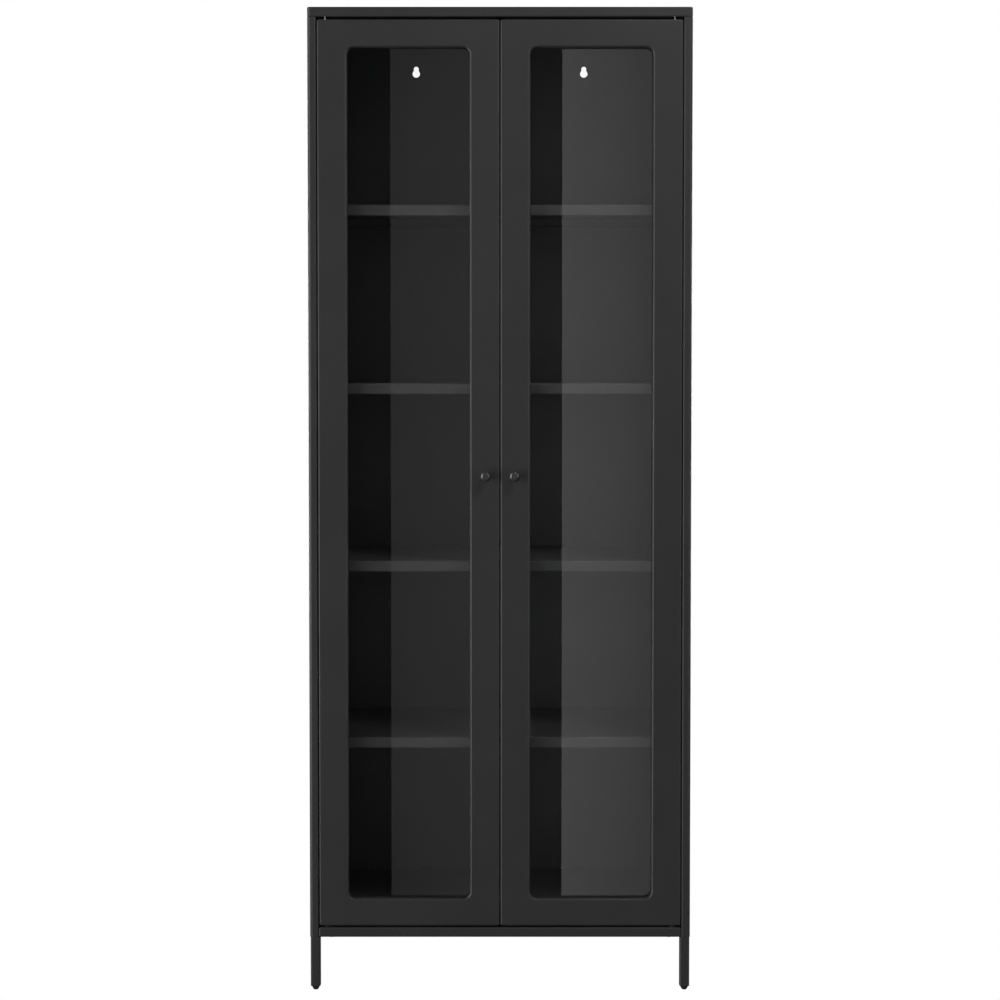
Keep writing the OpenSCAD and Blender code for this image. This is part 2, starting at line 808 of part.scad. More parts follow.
module glass(side) {
    color("#9fb4b8", 0.3) on_side(side)
        translate([door_x, glass_y, door_mid_z]) face_front() linear_extrude(glass_t) round_rect(
            -[window_w / 2 + glass_lap, window_h / 2 + glass_lap],
            [window_w / 2 + glass_lap, window_h / 2 + glass_lap], window_r);
}

// Rubber edging pushed onto the window flange, which the glass is bedded on
module glass_gasket(side) {
    outset = (gasket_w - sheet) / 2;
    color(plastic) on_side(side)
        translate([door_x, glass_y - gasket_t - gasket_lip, door_mid_z]) face_front()
            round_frame(window_w, window_h, window_r) difference() {
                translate([window_r - outset, 0]) square([gasket_w, gasket_lip + gasket_t]);
                translate([window_r - gasket_grip, -1]) square([sheet + 2 * gasket_grip, gasket_lip + 1]);
            }
}

// Flat frame screwed to the door's hem, which holds the glass in
module retaining_frame(side) {
    color(coat) on_side(side) difference() {
        translate([door_x, frame_y, door_mid_z]) face_front() linear_extrude(frame_t) difference() {
            round_rect([frame_inset - door_w / 2, frame_inset - door_h / 2],
                [door_w / 2 - frame_inset, door_h / 2 - frame_inset], frame_corner_r);
            round_rect([-window_w / 2, -window_h / 2], [window_w / 2, window_h / 2], window_r);
        }
        lever_slot(frame_y - 1, frame_t + 2);
        translate([knob_x, frame_y - 1, knob_z]) rotate([-90, 0, 0])
            cylinder(r = knob_access_r, h = frame_t + 2);
        for (at = frame_screw_places())
            translate([at.x, frame_y - 1, at.y])
                rotate([-90, 0, 0]) cylinder(r = small_hole_r, h = frame_t + 2);
    }
}

// Small screws of the retaining frame, and the knob's screw inside the door
module door_screws(side) {
    color(zinc) on_side(side) {
        for (at = frame_screw_places())
            translate([at.x, frame_back_y, at.y]) rotate([-90, 0, 0])
                screw(small_screw_r, frame_screw_l, small_head_r, small_head_h);
        translate([knob_x, door_y + sheet, knob_z]) rotate([-90, 0, 0])
            screw(knob_screw_r, knob_screw_l, screw_head_r, screw_head_h);
    }
}

// Turned knob with a neck, drawn about the Z axis with its foot on z = 0
module knob(side) {
    length = knob_l + door_y - front_y;
    head_r = knob_dia / 2;
    color(coat) on_side(side) translate([knob_x, door_y, knob_z]) rotate([90, 0, 0]) difference() {
        rotate_extrude() {
            square([knob_neck_r, length - 1]);
            intersection() {
                translate([0, length - knob_head_l]) square([head_r, knob_head_l]);
                union() {
                    translate([0, length - knob_head_l]) square([head_r - knob_edge_r, knob_head_l]);
                    translate([0, length - knob_head_l]) square([head_r, knob_head_l - knob_edge_r]);
                    translate([head_r - knob_edge_r, length - knob_edge_r]) circle(r = knob_edge_r);
                }
            }
        }
        translate([0, 0, -1]) cylinder(r = knob_screw_r + thread_gap, h = knob_core_l + 1);
    }
}

top_panel();
bottom_panel();
bottom_rail();
side_panel(-1);  // left_side_panel
side_panel(1);  // right_side_panel
back_panel();
upright(-1, front_upright_y);  // front_left_upright
upright(1, front_upright_y);  // front_right_upright
upright(-1, rear_upright_y);  // rear_left_upright
upright(1, rear_upright_y);  // rear_right_upright
for (n = [1 : 4]) {
    shelf(n);
    shelf_clips(n);
}
for (side = [-1, 1]) {
    hand = side < 0 ? "left" : "right";
    leg(side, leg_front_y);
    leg(side, leg_rear_y);
    foot(side, leg_front_y);
    foot(side, leg_rear_y);
    magnet_catch(side);
    bottom_pivot(side);
    top_bush(side);
    door_panel(side);
    glass(side);
    glass_gasket(side);
    retaining_frame(side);
    door_screws(side);
    knob(side);
    strike_plate(side);
    bottom_bush(side);
    pin_bracket(side);
    top_pin(side);
    pin_spring(side);
}
leg_nuts();
top_panel_screws();
bottom_panel_screws();
back_panel_screws();
magnet_catch_screws();
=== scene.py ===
import json
import math

import bpy
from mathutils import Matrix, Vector


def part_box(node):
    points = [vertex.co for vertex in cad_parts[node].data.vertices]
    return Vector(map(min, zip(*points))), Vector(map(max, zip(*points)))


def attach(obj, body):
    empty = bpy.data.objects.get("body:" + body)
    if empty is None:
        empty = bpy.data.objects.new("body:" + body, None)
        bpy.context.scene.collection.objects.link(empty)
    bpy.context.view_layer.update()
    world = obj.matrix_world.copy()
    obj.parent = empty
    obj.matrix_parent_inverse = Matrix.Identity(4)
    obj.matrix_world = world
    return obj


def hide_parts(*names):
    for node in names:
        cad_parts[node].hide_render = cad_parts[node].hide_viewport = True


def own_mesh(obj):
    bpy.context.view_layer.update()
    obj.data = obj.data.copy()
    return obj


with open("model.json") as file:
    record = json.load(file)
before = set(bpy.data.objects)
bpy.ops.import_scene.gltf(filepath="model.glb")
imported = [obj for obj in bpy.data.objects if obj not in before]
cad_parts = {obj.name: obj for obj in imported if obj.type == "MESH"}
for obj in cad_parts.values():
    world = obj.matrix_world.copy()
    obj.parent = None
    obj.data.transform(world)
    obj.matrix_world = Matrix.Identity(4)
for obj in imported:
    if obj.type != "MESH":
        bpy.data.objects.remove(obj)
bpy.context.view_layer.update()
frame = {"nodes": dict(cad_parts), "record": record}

# Sizes that the boxes of the CAD nodes don't give, in metres
SHEET = 0.001
BEND_R = 0.0025
POST_BEND_R = 0.006
DOOR_BEND_R = 0.0035
WINDOW_BEND_R = 0.004
CORNER_EXTRA = 0.0005
BEND_STEPS = 8
CORNER_STEPS = 8
RAW_EDGE_R = 0.0001
BROKEN_EDGE = 0.00015
SHARP_ANGLE = math.radians(40)
HANDS = {"left": -1, "right": 1}


# ---- Camera ----

CAMERA_AT = Vector((0, -4.24, 1.14))
CAMERA_TILT = 0.0399
LENS = 79.93
LENS_SHIFT = -0.04


def make_camera():
    """A long lens at chest height; a small shift keeps the uprights nearly parallel."""
    data = bpy.data.cameras.new("camera")
    data.lens = LENS
    data.shift_y = LENS_SHIFT
    camera = bpy.data.objects.new("camera", data)
    camera.location = CAMERA_AT
    camera.rotation_euler = (math.pi / 2 - CAMERA_TILT, 0, 0)
    bpy.context.scene.collection.objects.link(camera)
    bpy.context.scene.camera = camera


make_camera()


# ---- Mesh helpers ----

def add_object(name, mesh):
    obj = bpy.data.objects.new(name, mesh)
    bpy.context.scene.collection.objects.link(obj)
    return obj


def make_mesh(name, vertices, faces):
    mesh = bpy.data.meshes.new(name)
    mesh.from_pydata([tuple(v) for v in vertices], [], faces)
    mesh.validate()
    mesh.shade_smooth()
    return mesh


def smooth_faces(obj):
    """Flat faces stay flat and bends stay round in the shading."""
    obj.data.set_sharp_from_angle(angle=SHARP_ANGLE)
    weighted = obj.modifiers.new("normals", "WEIGHTED_NORMAL")
    weighted.keep_sharp = True


def ring(low, high, radius, steps=CORNER_STEPS):
    """Rounded rectangle between two corners, as points in order."""
    radius = max(radius, RAW_EDGE_R)
    points = []
    centres = (
        (high[0] - radius, high[1] - radius),
        (low[0] + radius, high[1] - radius),
        (low[0] + radius, low[1] + radius),
        (high[0] - radius, low[1] + radius),
    )
    for quarter, (x, y) in enumerate(centres):
        for step in range(steps + 1):
            angle = math.pi / 2 * (quarter + step / steps)
            points.append((x + radius * math.cos(angle), y + radius * math.sin(angle)))
    return points


def grow(low, high, by):
    """The rectangle's corners, moved out on all four sides."""
    return (low[0] - by, low[1] - by), (high[0] + by, high[1] + by)


def skin(rings, closed=False, turned=False):
    """(vertices, faces) over a row of rings. Open rows get a flat face at both ends."""
    count = len(rings[0])
    vertices = [point for row in rings for point in row]
    faces = []
    for row in range(len(rings) if closed else len(rings) - 1):
        here = row * count
        there = (row + 1) % len(rings) * count
        for k in range(count):
            following = (k + 1) % count
            faces.append((here + k, here + following, there + following, there + k))
    if not closed:
        faces.append(tuple(reversed(range(count))))
        last = (len(rings) - 1) * count
        faces.append(tuple(range(last, last + count)))
    if turned:
        faces = [tuple(reversed(face)) for face in faces]
    return vertices, faces


def loft(name, rings, closed=False, turned=False):
    return add_object(name, make_mesh(name, *skin(rings, closed, turned)))


def quarter_turn(steps=BEND_STEPS):
    """(sine, cosine) along a quarter turn."""
    return [
        (math.sin(math.pi / 2 * k / steps), math.cos(math.pi / 2 * k / steps))
        for k in range(steps + 1)
    ]


def pan_rows(low, high, depth, hem_low, hem_high, hem_r, bend_r, corner_r):
    """Rings (low, high, corner radius, depth) from a pan's face round to the inside of the face."""
    inner_r = bend_r - SHEET
    rows = []

    def at(inset, z):
        rows.append((*grow(low, high, -inset), corner_r - inset, z))

    for sine, cosine in quarter_turn():
        at(bend_r * (1 - sine), bend_r * (1 - cosine))
    for sine, cosine in quarter_turn():
        at(bend_r * (1 - cosine), depth - bend_r * (1 - sine))
    rows.append((hem_low, hem_high, hem_r, depth))
    rows.append((hem_low, hem_high, hem_r, depth - SHEET))
    for sine, cosine in quarter_turn():
        at(bend_r - inner_r * sine, depth - bend_r + inner_r * cosine)
    for sine, cosine in quarter_turn():
        at(bend_r - inner_r * cosine, bend_r - inner_r * sine)
    return rows


def open_pan_rows(low, high, depth):
    """Rings of a face whose four edges are turned straight back."""
    inner_r = BEND_R - SHEET
    rows = []

    def at(inset, z):
        rows.append((*grow(low, high, -inset), BEND_R + CORNER_EXTRA - inset, z))

    for sine, cosine in quarter_turn():
        at(BEND_R * (1 - sine), BEND_R * (1 - cosine))
    at(0, depth)
    at(SHEET, depth)
    for sine, cosine in quarter_turn():
        at(BEND_R - inner_r * cosine, BEND_R - inner_r * sine)
    return rows


def collar_rows(low, high, depth, radius):
    """Rings of the flange turned in round a window, from inside the face round to its front."""
    inner_r = WINDOW_BEND_R - SHEET
    rows = []

    def at(outset, z):
        rows.append((*grow(low, high, outset), radius + outset, z))

    for sine, cosine in quarter_turn():
        at(WINDOW_BEND_R - inner_r * sine, WINDOW_BEND_R - inner_r * cosine)
    at(SHEET, depth)
    at(0, depth)
    for sine, cosine in quarter_turn():
        at(WINDOW_BEND_R * (1 - cosine), WINDOW_BEND_R * (1 - sine))
    return rows


def fold_section(path, radii):
    """Both faces of a folded sheet whose middle runs along a path with square corners.

    The radii are those of the outer faces of its bends."""
    points = [Vector(p) for p in path]
    left, right = [], []

    def add(point, normal):
        left.append(point + normal * SHEET / 2)
        right.append(point - normal * SHEET / 2)

    def normal_of(direction):
        return Vector((-direction.y, direction.x))

    first = (points[1] - points[0]).normalized()
    add(points[0], normal_of(first))
    for before, corner, after, radius in zip(points, points[1:], points[2:], radii):
        middle_r = radius - SHEET / 2
        into = (corner - before).normalized()
        out = (after - corner).normalized()
        centre = corner + middle_r * (out - into)
        turn = 1 if normal_of(into).dot(out) > 0 else -1
        for sine, cosine in quarter_turn():
            radial = into * sine - out * cosine
            add(centre + radial * middle_r, radial * -turn)
    last = (points[-1] - points[-2]).normalized()
    add(points[-1], normal_of(last))
    return left, right


def prism(section, bottom, top):
    """(vertices, faces) of a folded section between two heights."""
    left, right = section
    count = len(left)
    vertices = []
    for z in (bottom, top):
        vertices += [(p.x, p.y, z) for p in left] + [(p.x, p.y, z) for p in right]
    side = 2 * count
    faces = []
    for k in range(count - 1):
        faces.append((k, k + 1, side + k + 1, side + k))
        faces.append((count + k + 1, count + k, side + count + k, side + count + k + 1))
        faces.append((k + 1, k, count + k, count + k + 1))
        faces.append((side + k, side + k + 1, side + count + k + 1, side + count + k))
    faces.append((count, 0, side, side + count))
    faces.append((count - 1, 2 * count - 1, side + 2 * count - 1, side + count - 1))
    return vertices, [tuple(reversed(face)) for face in faces]


def joined(name, *parts):
    """One object from several (vertices, faces) shells."""
    vertices, faces = [], []
    for some_vertices, some_faces in parts:
        base = len(vertices)
        vertices += some_vertices
        faces += [tuple(base + k for k in face) for face in some_faces]
    return add_object(name, make_mesh(name, vertices, faces))


TURNED_STEPS = 64


def lathe(profile, lay):
    """Rings of a turned shape. The lay function places (across, up, along) on the shape's axis."""
    rings = []
    for radius, along in profile:
        row = []
        for k in range(TURNED_STEPS):
            angle = 2 * math.pi * k / TURNED_STEPS
            row.append(lay(radius * math.cos(angle), radius * math.sin(angle), along))
        rings.append(row)
    return rings


# ---- Material helpers ----

# The colour sockets of the Mix node, which share their names with its other sockets
MIX_FACTOR = 0
MIX_LOW = 6
MIX_HIGH = 7
MIX_RESULT = 2


class Nodes:
    """A short way to write a material's node tree."""

    def __init__(self, name):
        self.material = bpy.data.materials.new(name)
        self.material.use_nodes = True
        self.tree = self.material.node_tree
        self.tree.nodes.clear()
        self.output = self.tree.nodes.new("ShaderNodeOutputMaterial")
        self.position = self.tree.nodes.new("ShaderNodeTexCoord").outputs["Object"]

    def add(self, kind, **settings):
        node = self.tree.nodes.new(kind)
        for key, value in settings.items():
            setattr(node, key, value)
        return node

    def link(self, source, target):
        self.tree.links.new(source, target)

    def noise(self, scale, detail, roughness=0.5, stretch=None):
        """Noise over the piece in metres: a scale of 100 gives spots about 10 mm wide."""
        node = self.add("ShaderNodeTexNoise")
        node.inputs["Scale"].default_value = scale
        node.inputs["Detail"].default_value = detail
        node.inputs["Roughness"].default_value = roughness
        source = self.position
        if stretch:
            mapping = self.add("ShaderNodeMapping")
            mapping.inputs["Scale"].default_value = stretch
            self.link(source, mapping.inputs["Vector"])
            source = mapping.outputs["Vector"]
        self.link(source, node.inputs["Vector"])
        return node.outputs["Fac"]

    def spread(self, source, low, high, start=0.3, end=0.7):
        """Maps a noise's middle range to low..high."""
        node = self.add("ShaderNodeMapRange")
        node.inputs["From Min"].default_value = start
        node.inputs["From Max"].default_value = end
        node.inputs["To Min"].default_value = low
        node.inputs["To Max"].default_value = high
        self.link(source, node.inputs["Value"])
        return node.outputs["Result"]

    def blend_colours(self, factor, low, high):
        """Each end is a colour or another node's output."""
        node = self.add("ShaderNodeMix", data_type="RGBA")
        self.link(factor, node.inputs[MIX_FACTOR])
        for index, value in ((MIX_LOW, low), (MIX_HIGH, high)):
            if isinstance(value, tuple):
                node.inputs[index].default_value = (*value, 1)
            else:
                self.link(value, node.inputs[index])
        return node.outputs[MIX_RESULT]

    def bump(self, height, distance, strength=1.0, before=None):
        node = self.add("ShaderNodeBump")
        node.inputs["Strength"].default_value = strength
        node.inputs["Distance"].default_value = distance
        self.link(height, node.inputs["Height"])
        if before is not None:
            self.link(before, node.inputs["Normal"])
        return node.outputs["Normal"]

    def edges(self, radius, low, high):
        """High on a piece's edges and low on its flat faces."""
        bevel = self.add("ShaderNodeBevel", samples=4)
        bevel.inputs["Radius"].default_value = radius
        geometry = self.add("ShaderNodeNewGeometry")
        dot = self.add("ShaderNodeVectorMath", operation="DOT_PRODUCT")
        self.link(bevel.outputs["Normal"], dot.inputs[0])
        self.link(geometry.outputs["Normal"], dot.inputs[1])
        return self.spread(dot.outputs["Value"], low=high, high=low, start=0.8, end=0.99)

    def principled(self, **values):
        """Each value is a constant or another node's output, under its socket's name."""
        node = self.add("ShaderNodeBsdfPrincipled")
        for key, value in values.items():
            socket = node.inputs[key.replace("_", " ")]
            if hasattr(value, "is_output"):
                self.link(value, socket)
            else:
                socket.default_value = value
        self.link(node.outputs["BSDF"], self.output.inputs["Surface"])
        return node


def scaled(colour, factor):
    return tuple(channel * factor for channel in colour)


def powder_coat(name, colour, roughness, grain):
    """Black powder coat: orange peel with fine sand in it, a little paler on edges, partly as wear
    and partly as a painted edge highlight.
    """
    n = Nodes(name)
    speck_wear_and_sheen = scaled(colour, 1.9)
    cloud = n.spread(n.noise(scale=5, detail=3), low=0, high=1)
    base = n.blend_colours(cloud, colour, scaled(colour, 1.18))
    speck = n.spread(n.noise(scale=2600, detail=1), low=0, high=0.35, start=0.55, end=0.75)
    base = n.blend_colours(speck, base, speck_wear_and_sheen)
    # Paler edges: partly edge wear, partly a painted highlight along edges and bends
    base = n.blend_colours(n.edges(radius=0.0012, low=0, high=0.35), base, speck_wear_and_sheen)
    patchy = 0.015
    shine = n.spread(n.noise(scale=14, detail=4), roughness - patchy, roughness + patchy)
    peel = n.bump(n.noise(scale=330, detail=2), distance=0.000012 * grain)
    sand = n.bump(n.noise(scale=1500, detail=2), distance=0.000008 * grain, before=peel)
    n.principled(Base_Color=base, Roughness=shine, Normal=sand, IOR=1.5)
    return n.material


GLASS_CLEAR = (0.985, 0.989, 0.987)
GLASS_HAZY = (0.975, 0.98, 0.978)
GLASS_SHADE = (0.91, 0.915, 0.912)


def clear_glass():
    """Clear float glass. Lamps and scattered light pass straight through it."""
    n = Nodes("clear_glass")
    haze = n.spread(n.noise(scale=9, detail=4, roughness=0.6), low=0, high=1)
    tint = n.blend_colours(haze, GLASS_CLEAR, GLASS_HAZY)
    wave = n.bump(n.noise(scale=3, detail=1), distance=0.00002)
    glass = n.principled(
        Base_Color=tint, Roughness=0.0, IOR=1.5, Transmission_Weight=1.0, Normal=wave)
    path = n.add("ShaderNodeLightPath")
    either = n.add("ShaderNodeMath", operation="MAXIMUM")
    n.link(path.outputs["Is Shadow Ray"], either.inputs[0])
    n.link(path.outputs["Is Diffuse Ray"], either.inputs[1])
    clear = n.add("ShaderNodeBsdfTransparent")
    clear.inputs["Color"].default_value = (*GLASS_SHADE, 1)
    mix = n.add("ShaderNodeMixShader")
    n.link(either.outputs["Value"], mix.inputs["Fac"])
    n.link(glass.outputs["BSDF"], mix.inputs[1])
    n.link(clear.outputs["BSDF"], mix.inputs[2])
    n.link(mix.outputs["Shader"], n.output.inputs["Surface"])
    return n.material


def rubber():
    """Dull black rubber, a little dusty in places."""
    n = Nodes("black_rubber")
    dust = n.spread(n.noise(scale=60, detail=3), low=0, high=1)
    base = n.blend_colours(dust, (0.008, 0.008, 0.008), (0.013, 0.013, 0.013))
    shine = n.spread(n.noise(scale=40, detail=2), low=0.75, high=0.9)
    grain = n.bump(n.noise(scale=900, detail=3), distance=0.00008, strength=0.5)
    n.principled(Base_Color=base, Roughness=shine, Specular_IOR_Level=0.3, Normal=grain)
    return n.material


def moulded_plastic(name, colour):
    """Moulded black plastic with a fine spark-eroded grain."""
    n = Nodes(name)
    cloud = n.spread(n.noise(scale=30, detail=3), low=0, high=1)
    base = n.blend_colours(cloud, colour, scaled(colour, 1.4))
    shine = n.spread(n.noise(scale=120, detail=2), low=0.42, high=0.55)
    grain = n.bump(n.noise(scale=2200, detail=2), distance=0.00005, strength=0.5)
    n.principled(Base_Color=base, Roughness=shine, Normal=grain)
    return n.material


def plated_steel(name, colour, roughness):
    """Bright zinc on steel: fine lines along the piece and cloudy patches."""
    n = Nodes(name)
    cloud = n.spread(n.noise(scale=180, detail=4, roughness=0.6), low=0, high=1)
    base = n.blend_colours(cloud, colour, scaled(colour, 0.75))
    shine = n.spread(n.noise(scale=700, detail=3), roughness - 0.07, roughness + 0.1)
    drawn = n.noise(scale=400, detail=3, stretch=(6, 6, 0.6))
    lines = n.bump(drawn, distance=0.00003, strength=0.4)
    n.principled(Base_Color=base, Roughness=shine, Metallic=1.0, Normal=lines)
    return n.material


MATERIALS = {
    "powder_coat": powder_coat("powder_coat", (0.028, 0.028, 0.0285), roughness=0.42, grain=1.0),
    "knob_coat": powder_coat("knob_coat", (0.02, 0.02, 0.0205), roughness=0.14, grain=0.2),
    "clear_glass": clear_glass(),
    "black_rubber": rubber(),
    "foot_plastic": moulded_plastic("foot_plastic", (0.022, 0.022, 0.023)),
    "catch_plastic": moulded_plastic("catch_plastic", (0.018, 0.018, 0.018)),
    "bush_nylon": moulded_plastic("bush_nylon", (0.03, 0.03, 0.03)),
    "zinc_steel": plated_steel("zinc_steel", (0.62, 0.63, 0.64), roughness=0.3),
    "pin_steel": plated_steel("pin_steel", (0.8, 0.8, 0.8), roughness=0.24),
    "pivot_steel": powder_coat("pivot_steel", (0.012, 0.012, 0.012), roughness=0.4, grain=0.3),
    "spring_steel": plated_steel("spring_steel", (0.45, 0.45, 0.47), roughness=0.28),
}


def finish(obj, body, slot, node):
    """The piece rides on its body, stands for the CAD node and gets its slot's material."""
    smooth_faces(obj)
    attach(obj, body)
    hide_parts(node)
    obj.data.materials.clear()
    obj.data.materials.append(MATERIALS[slot])


# ---- Body ----

HEM_R = 0.004
TRAY_HEM = 0.016
CATCH_MARGIN = 0.003
SHELF_HEM = 0.012
SHELF_COUNT = 4


def lying_pan(name, node, hem, front_hem, corner_r):
    """A folded pan that fills a CAD node's box, with its face up."""
    low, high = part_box(node)
    rows = pan_rows(
        (low.x, low.y), (high.x, high.y), high.z - low.z,
        (low.x + hem, low.y + front_hem), (high.x - hem, high.y - hem), HEM_R, BEND_R, corner_r)
    rings = [[(x, y, high.z - z) for x, y in ring(a, b, r)] for a, b, r, z in rows]
    finish(loft(name, rings), "cabinet", "powder_coat", node)


def make_pans():
    """The top panel, whose front hem covers the catches, the floor and the shelves."""
    front_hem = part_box("left_magnet_catch")[1].y + CATCH_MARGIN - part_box("top_panel")[0].y
    lying_pan("top_panel_skin", "top_panel", TRAY_HEM, front_hem, POST_BEND_R)
    lying_pan("floor_skin", "bottom_panel", TRAY_HEM, TRAY_HEM, POST_BEND_R)
    for number in range(1, SHELF_COUNT + 1):
        shelf = f"shelf_{number}"
        lying_pan(f"{shelf}_skin", shelf, SHELF_HEM, SHELF_HEM, BEND_R + CORNER_EXTRA)


def flat_plate(low, high, radius, bottom, top):
    """(vertices, faces) of a flat plate with rounded corners."""
    points = ring(low, high, radius)
    count = len(points)
    vertices = [(x, y, bottom) for x, y in points] + [(x, y, top) for x, y in points]
    faces = [tuple(reversed(range(count))), tuple(range(count, 2 * count))]
    for k in range(count):
        following = (k + 1) % count
        faces.append((k, following, count + following, count + k))
    return vertices, faces


POST_W = 0.016
POST_D = 0.016


def make_side_panels():
    """Front post, web and rear flange in one fold, with a flat flange at the top and bottom."""
    half = SHEET / 2
    for hand, side in HANDS.items():
        low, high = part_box(f"{hand}_side_panel")
        rear_flange = high.x - low.x
        outer = side * max(abs(low.x), abs(high.x))

        def x(inset):
            return outer - side * inset

        path = [
            (x(POST_W - half), low.y + POST_D),
            (x(POST_W - half), low.y + half),
            (x(half), low.y + half),
            (x(half), high.y - half),
            (x(rear_flange), high.y - half),
        ]
        section = fold_section(path, (BEND_R, POST_BEND_R, POST_BEND_R))
        shell = prism(section, low.z, high.z)
        if side > 0:
            shell = (shell[0], [tuple(reversed(face)) for face in shell[1]])
        plates = []
        edges = sorted((x(half), x(POST_W)))
        for bottom in (low.z, high.z - SHEET):
            plates.append(flat_plate(
                (edges[0], low.y + half), (edges[1], high.y - half),
                POST_BEND_R - half, bottom, bottom + SHEET))
        obj = joined(f"{hand}_side_skin", shell, *plates)
        finish(obj, "cabinet", "powder_coat", f"{hand}_side_panel")


RAIL_RETURN = 0.024


def make_rail():
    """The rail under the doors, with its ledge behind."""
    low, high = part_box("bottom_rail")
    rows = open_pan_rows((low.x, low.z), (high.x, high.z), RAIL_RETURN)
    face = skin(upright_rings(rows, low.y), turned=True)
    ledge = flat_plate(
        (low.x, low.y + RAIL_RETURN), (high.x, high.y), RAW_EDGE_R, high.z - SHEET, high.z)
    finish(joined("rail_skin", face, ledge), "cabinet", "powder_coat", "bottom_rail")


KEYHOLE_R = 0.0075
KEYHOLE_NECK_R = 0.005
KEYHOLE_RISE = 0.0095
KEYHOLE_DROP = 0.0685
KEYHOLE_STEPS = 40
TONGUE_GAP = 0.002


def keyhole_points(x, z):
    """Outline of a keyhole: a round hole with a narrower round-topped neck above it."""
    points = []
    start = math.asin(KEYHOLE_NECK_R / KEYHOLE_R)
    for k in range(KEYHOLE_STEPS + 1):
        angle = start + (2 * math.pi - 2 * start) * k / KEYHOLE_STEPS
        points.append((x - KEYHOLE_R * math.sin(angle), z + KEYHOLE_R * math.cos(angle)))
    neck_steps = KEYHOLE_STEPS // 2
    for k in range(neck_steps + 1):
        angle = math.pi * k / neck_steps
        rise = KEYHOLE_RISE + KEYHOLE_NECK_R * math.sin(angle)
        points.append((x + KEYHOLE_NECK_R * math.cos(angle), z + rise))
    return points


def make_back_panel():
    """A flat curve filled round its two keyholes, then turned to a mesh.

    A tongue between the side panels' flanges laps the top panel's hem, so no light shows there."""
    low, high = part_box("back_panel")
    top_low, top_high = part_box("top_panel")
    tongue_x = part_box("right_side_panel")[0].x - TONGUE_GAP
    tongue_z = top_low.z + SHEET / 2
    curve = bpy.data.curves.new("back_outline", "CURVE")
    curve.dimensions = "2D"
    curve.fill_mode = "BOTH"
    curve.extrude = (high.y - low.y) / 2 - BROKEN_EDGE
    curve.bevel_depth = BROKEN_EDGE
    curve.bevel_resolution = 1
    (left, bottom), (right, shoulder) = grow((low.x, low.z), (high.x, high.z), -BROKEN_EDGE)
    outlines = [[
        (left, bottom), (right, bottom), (right, shoulder), (tongue_x, shoulder),
        (tongue_x, tongue_z), (-tongue_x, tongue_z), (-tongue_x, shoulder), (left, shoulder),
    ]]
    for hand in HANDS:
        glass_low, glass_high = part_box(f"{hand}_glass")
        middle_x = (glass_low.x + glass_high.x) / 2
        outlines.append(keyhole_points(middle_x, top_high.z - KEYHOLE_DROP))
    for outline in outlines:
        spline = curve.splines.new("POLY")
        spline.points.add(len(outline) - 1)
        for point, (x, z) in zip(spline.points, outline):
            point.co = (x, z, 0, 1)
        spline.use_cyclic_u = True
    drawing = bpy.data.objects.new("back_outline", curve)
    mesh = bpy.data.meshes.new_from_object(drawing)
    bpy.data.objects.remove(drawing)
    bpy.data.curves.remove(curve)
    middle = (low.y + high.y) / 2
    for vertex in mesh.vertices:
        x, z, y = vertex.co
        vertex.co = (x, middle + y, z)
    mesh.flip_normals()
    mesh.shade_smooth()
    finish(add_object("back_skin", mesh), "cabinet", "powder_coat", "back_panel")


# ---- Legs and feet ----

LEG_EDGE_R = 0.0035
LEG_SOFT = 0.0003
FOOT_RING_H = 0.002
FOOT_TIP_R = 0.0048
FOOT_NECK_R = 0.0084


def square_ring(middle, half, radius, z):
    low = (middle.x - half, middle.y - half)
    high = (middle.x + half, middle.y + half)
    return [(x, y, z) for x, y in ring(low, high, radius)]


def square_rings(middle, half, bottom, top):
    """Rings of a square tube whose ends have soft edges."""
    inner = half - LEG_SOFT, LEG_EDGE_R - LEG_SOFT
    outer = half, LEG_EDGE_R
    levels = ((inner, bottom), (outer, bottom + LEG_SOFT), (outer, top - LEG_SOFT), (inner, top))
    return [square_ring(middle, *size, z) for size, z in levels]


def make_leg(name):
    """A square tube that ends under the side panel."""
    low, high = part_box(name)
    half = (high.x - low.x) / 2
    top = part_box("left_side_panel")[0].z
    tube = loft(f"{name}_tube", square_rings((low + high) / 2, half, low.z, top))
    finish(tube, "cabinet", "powder_coat", name)


def make_foot(name, leg):
    """A tapered plastic plug under a square ring as wide as the leg."""
    leg_low, leg_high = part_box(leg)
    middle = (leg_low + leg_high) / 2
    half = (leg_high.x - leg_low.x) / 2
    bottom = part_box(name)[0].z
    ring_top = leg_low.z
    ring_bottom = ring_top - FOOT_RING_H
    turned = (
        (FOOT_TIP_R - 3 * LEG_SOFT, bottom),
        (FOOT_TIP_R - LEG_SOFT, bottom + LEG_SOFT),
        (FOOT_TIP_R, bottom + 3 * LEG_SOFT),
        (FOOT_NECK_R - LEG_SOFT, ring_bottom - 2 * LEG_SOFT),
        (FOOT_NECK_R, ring_bottom),
    )
    rings = [square_ring(middle, radius, radius, z) for radius, z in turned]
    rings += square_rings(middle, half, ring_bottom, ring_top)
    finish(loft(f"{name}_plug", rings), "cabinet", "foot_plastic", name)


def make_legs():
    for end in ("front", "rear"):
        for hand in HANDS:
            make_leg(f"{end}_{hand}_leg")
            make_foot(f"{end}_{hand}_foot", f"{end}_{hand}_leg")


# ---- Doors ----

WINDOW_R = 0.013
COLLAR_D = 0.013
DOOR_HEM = 0.014
GLASS_LAP = 0.008
GLASS_ARRIS = 0.0005
GASKET_LIP = 0.004
GASKET_BEAD = 0.0003


def window_of(hand):
    """Lower left and upper right corner of the door's window, as x and z."""
    low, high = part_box(f"{hand}_glass")
    return (low.x + GLASS_LAP, low.z + GLASS_LAP), (high.x - GLASS_LAP, high.z - GLASS_LAP)


def upright_rings(rows, front):
    """Rows of (low, high, corner radius, depth) as rings that go back from a front plane."""
    return [[(x, front + z, y) for x, y in ring(a, b, r)] for a, b, r, z in rows]


